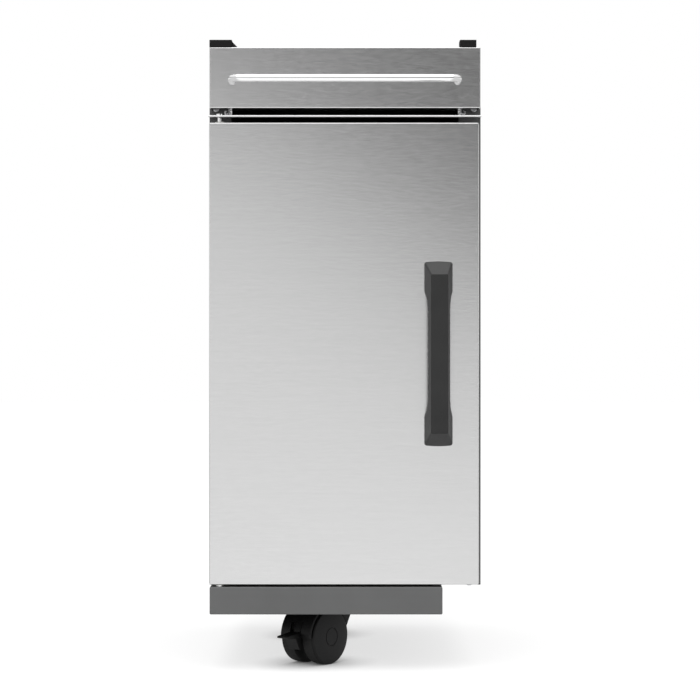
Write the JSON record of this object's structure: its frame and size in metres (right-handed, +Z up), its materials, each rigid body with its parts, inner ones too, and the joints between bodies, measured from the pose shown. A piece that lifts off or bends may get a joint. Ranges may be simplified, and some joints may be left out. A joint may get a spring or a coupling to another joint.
{
  "type": "grill side cabinet",
  "caption": "Narrow sheet-steel grill side cabinet with a hinged brushed door, moulded pull, towel rail on a fascia, worktop, base frame and braked castors.",
  "frame": {"origin": "on the floor under the middle of the whole object", "axes": "+X to the viewer's right, -Y out of the door, +Z up"},
  "size_m": [0.397, 0.562, 0.9153],
  "materials": {
    "brushed_steel": "fine brushed stainless steel, grain across",
    "polished_chrome": "polished",
    "grey_paint": "satin grey powder coat",
    "panel_paint": "fine textured grey powder coat",
    "charcoal_plastic": "fine grained moulding",
    "block_plastic": "moulded black",
    "nylon": "natural nylon",
    "zinc_steel": "zinc plated",
    "magnet": "ferrite",
    "rubber": "soft black",
    "castor_plastic": "moulded black nylon",
    "castor_tread": "moulded black tread",
    "castor_steel": "zinc plated"
  },
  "bodies": {
    "cabinet": {"fascia": "brushed_steel", "worktop": "brushed_steel", "cross_rail": "brushed_steel", "towel_rail": "polished_chrome", "upper_hinge_pin": "polished_chrome", "lower_hinge_pin": "polished_chrome", "base_front_rail": "grey_paint", "base_rear_rail": "grey_paint", "base_left_rail": "grey_paint", "base_right_rail": "grey_paint", "castor_bearer": "grey_paint", "left_side_panel": "panel_paint", "right_side_panel": "panel_paint", "back_panel": "panel_paint", "floor_panel": "panel_paint", "shelf": "panel_paint", "left_top_block": "block_plastic", "right_top_block": "block_plastic", "catch_housing": "block_plastic", "back_rivets": "zinc_steel", "floor_rivets": "zinc_steel", "cross_rail_rivets": "zinc_steel", "fascia_screws": "zinc_steel", "towel_rail_screws": "zinc_steel", "top_block_screws": "zinc_steel", "shelf_pins": "zinc_steel", "castor_nuts": "zinc_steel", "catch_magnet": "magnet", "door_bumpers": "rubber", "front_castor_stem": "castor_steel", "rear_castor_stem": "castor_steel"},
    "door": {"door_skin": "brushed_steel", "door_liner": "panel_paint", "door_handle": "charcoal_plastic", "handle_screws": "zinc_steel", "strike_plate": "zinc_steel", "upper_hinge_bush": "nylon", "lower_hinge_bush": "nylon"},
    "front_swivel": {"front_castor_hood": "castor_plastic", "front_castor_axle": "castor_steel", "front_castor_brake_pin": "castor_steel"},
    "front_left_wheel": {"front_castor_left_wheel": "castor_plastic", "front_castor_left_tread": "castor_tread"},
    "front_right_wheel": {"front_castor_right_wheel": "castor_plastic", "front_castor_right_tread": "castor_tread"},
    "front_brake": {"front_castor_brake_lever": "castor_plastic"},
    "rear_swivel": {"rear_castor_hood": "castor_plastic", "rear_castor_axle": "castor_steel", "rear_castor_brake_pin": "castor_steel"},
    "rear_left_wheel": {"rear_castor_left_wheel": "castor_plastic", "rear_castor_left_tread": "castor_tread"},
    "rear_right_wheel": {"rear_castor_right_wheel": "castor_plastic", "rear_castor_right_tread": "castor_tread"},
    "rear_brake": {"rear_castor_brake_lever": "castor_plastic"}
  },
  "joints": [
    {"name": "door_swing", "type": "hinge", "parent": "cabinet", "child": "door", "pos_m": [-0.1822, -0.229, 0.4603], "axis": [0, 0, -1], "range_deg": [0, 120]},
    {"name": "front_castor_swivel", "type": "hinge", "parent": "cabinet", "child": "front_swivel", "pos_m": [-0.028, -0.134, 0.0988], "axis": [0, 0, 1], "continuous": true},
    {"name": "front_left_wheel_spin", "type": "hinge", "parent": "front_swivel", "child": "front_left_wheel", "pos_m": [-0.04524, -0.15606, 0.041], "axis": [0.788, -0.6157, 0], "continuous": true},
    {"name": "front_right_wheel_spin", "type": "hinge", "parent": "front_swivel", "child": "front_right_wheel", "pos_m": [-0.04524, -0.15606, 0.041], "axis": [0.788, -0.6157, 0], "continuous": true},
    {"name": "front_brake_press", "type": "hinge", "parent": "front_swivel", "child": "front_brake", "pos_m": [-0.0674, -0.18443, 0.049], "axis": [0.788, -0.6157, 0], "range_deg": [0, 16]},
    {"name": "rear_castor_swivel", "type": "hinge", "parent": "cabinet", "child": "rear_swivel", "pos_m": [-0.028, 0.176, 0.0988], "axis": [0, 0, 1], "continuous": true},
    {"name": "rear_left_wheel_spin", "type": "hinge", "parent": "rear_swivel", "child": "rear_left_wheel", "pos_m": [-0.04524, 0.15394, 0.041], "axis": [0.788, -0.6157, 0], "continuous": true},
    {"name": "rear_right_wheel_spin", "type": "hinge", "parent": "rear_swivel", "child": "rear_right_wheel", "pos_m": [-0.04524, 0.15394, 0.041], "axis": [0.788, -0.6157, 0], "continuous": true},
    {"name": "rear_brake_press", "type": "hinge", "parent": "rear_swivel", "child": "rear_brake", "pos_m": [-0.0674, 0.12557, 0.049], "axis": [0.788, -0.6157, 0], "range_deg": [0, 16]}
  ]
}
